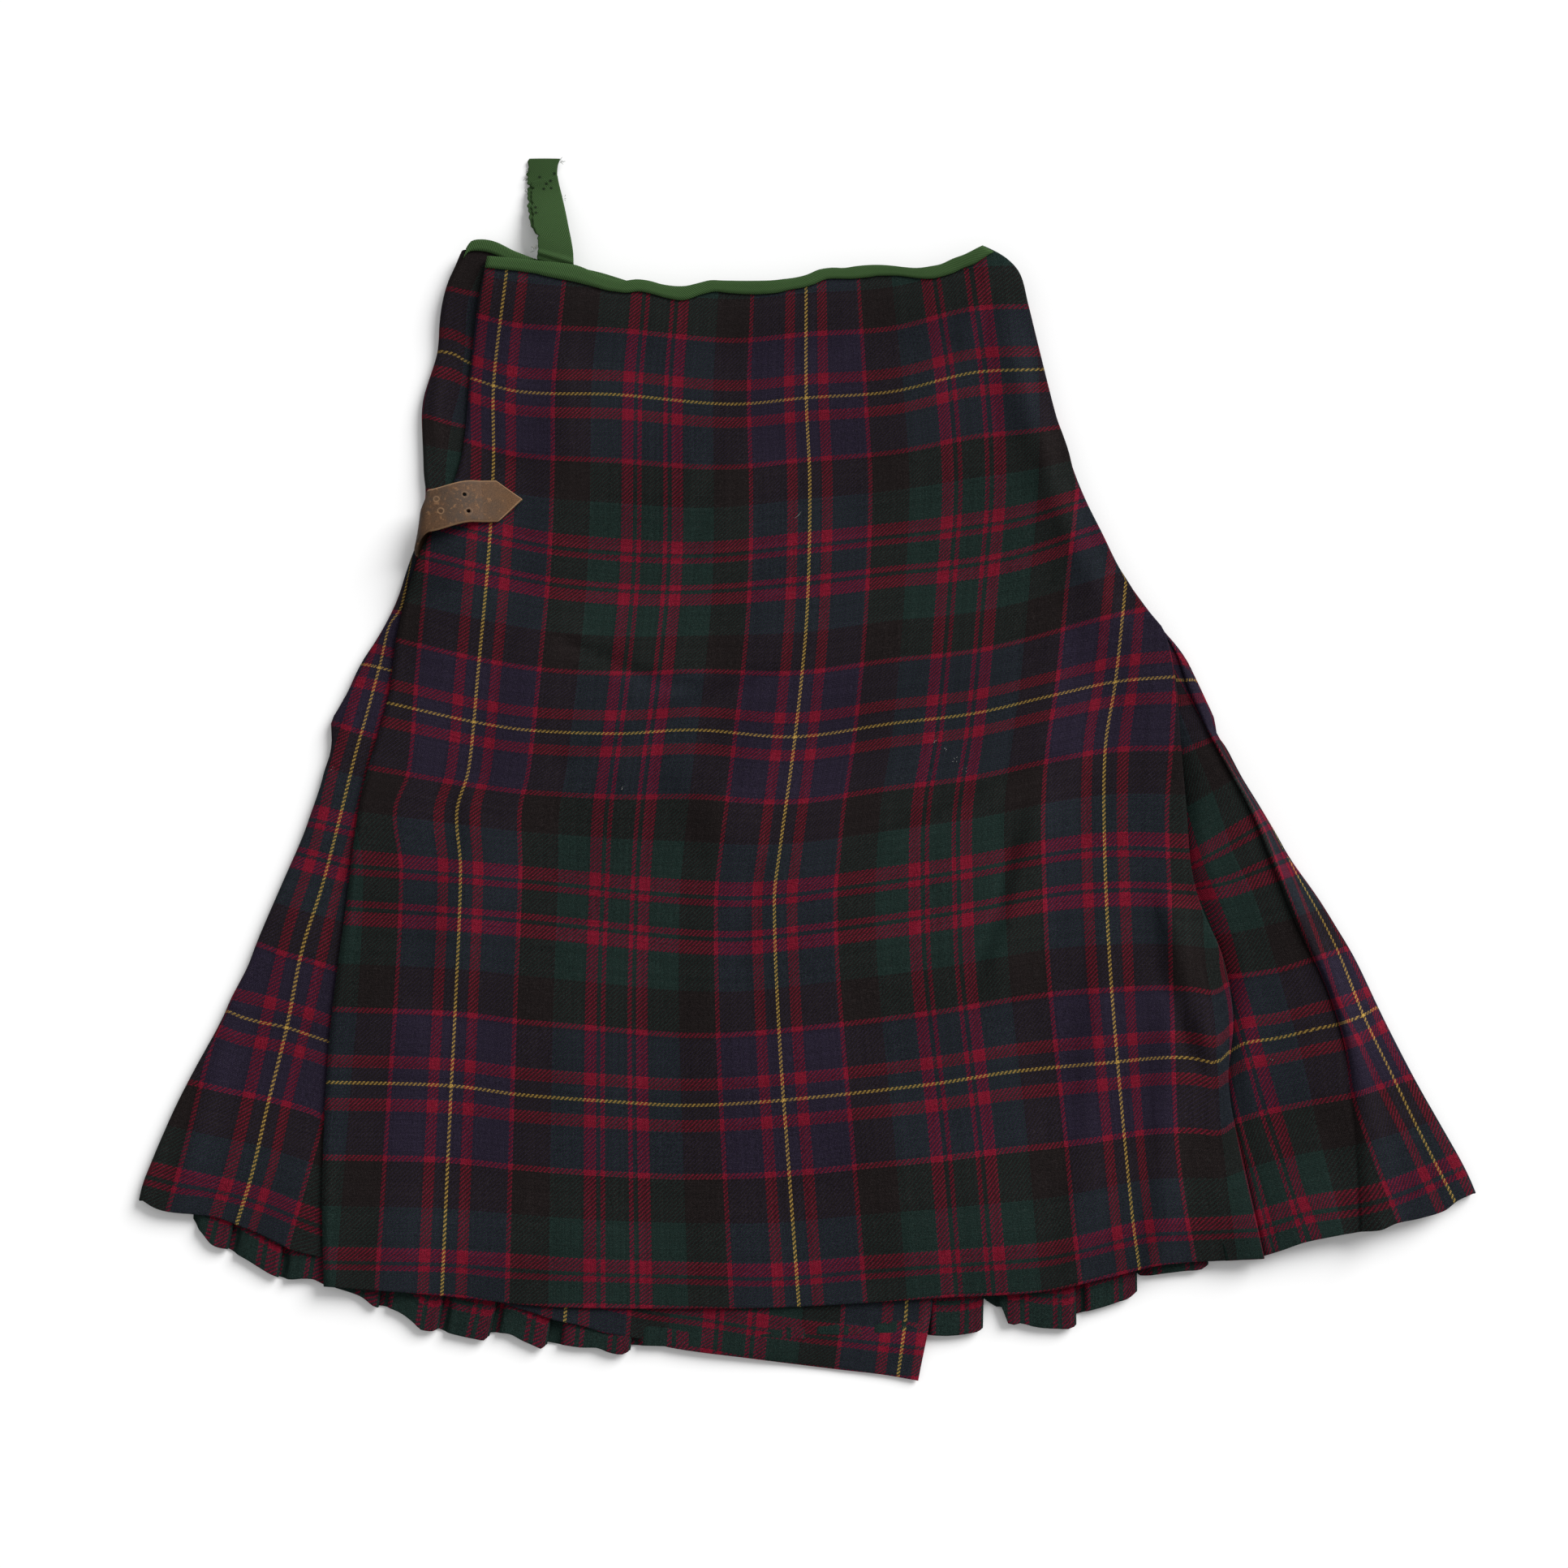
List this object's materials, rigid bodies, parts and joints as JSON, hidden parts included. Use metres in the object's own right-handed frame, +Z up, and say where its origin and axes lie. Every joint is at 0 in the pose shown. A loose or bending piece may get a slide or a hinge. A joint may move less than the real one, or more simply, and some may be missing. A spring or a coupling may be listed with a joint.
{
  "type": "scottish kilt",
  "caption": "Pleated wrap kilt laid flat front up, with an over apron, under apron, side fold, knife pleats, tape-bound waist, hanging loop and hip strap.",
  "frame": {"origin": "centre of the laid-out kilt's outline, on the surface it lies on", "axes": "+X to the viewer's right across the front, +Y from the hem to the waist, +Z up out of the surface, towards the front of the kilt"},
  "size_m": [0.754, 0.73, 0.021],
  "materials": {
    "tartan_wool": "matt worsted wool twill, dark green, navy and black checks with red stripes and a yellow line",
    "green_tape": "matt green herringbone cotton tape, worn and slightly frayed",
    "brown_leather": "worn brown leather, scuffed, paler along the edges"
  },
  "bodies": {
    "root": {"pleated_back": "tartan_wool", "under_apron": "tartan_wool", "side_panel": "tartan_wool", "over_apron": "tartan_wool", "back_binding": "green_tape", "under_binding": "green_tape", "over_binding": "green_tape", "hanging_loop": "green_tape", "leather_strap": "brown_leather"}
  },
  "joints": []
}
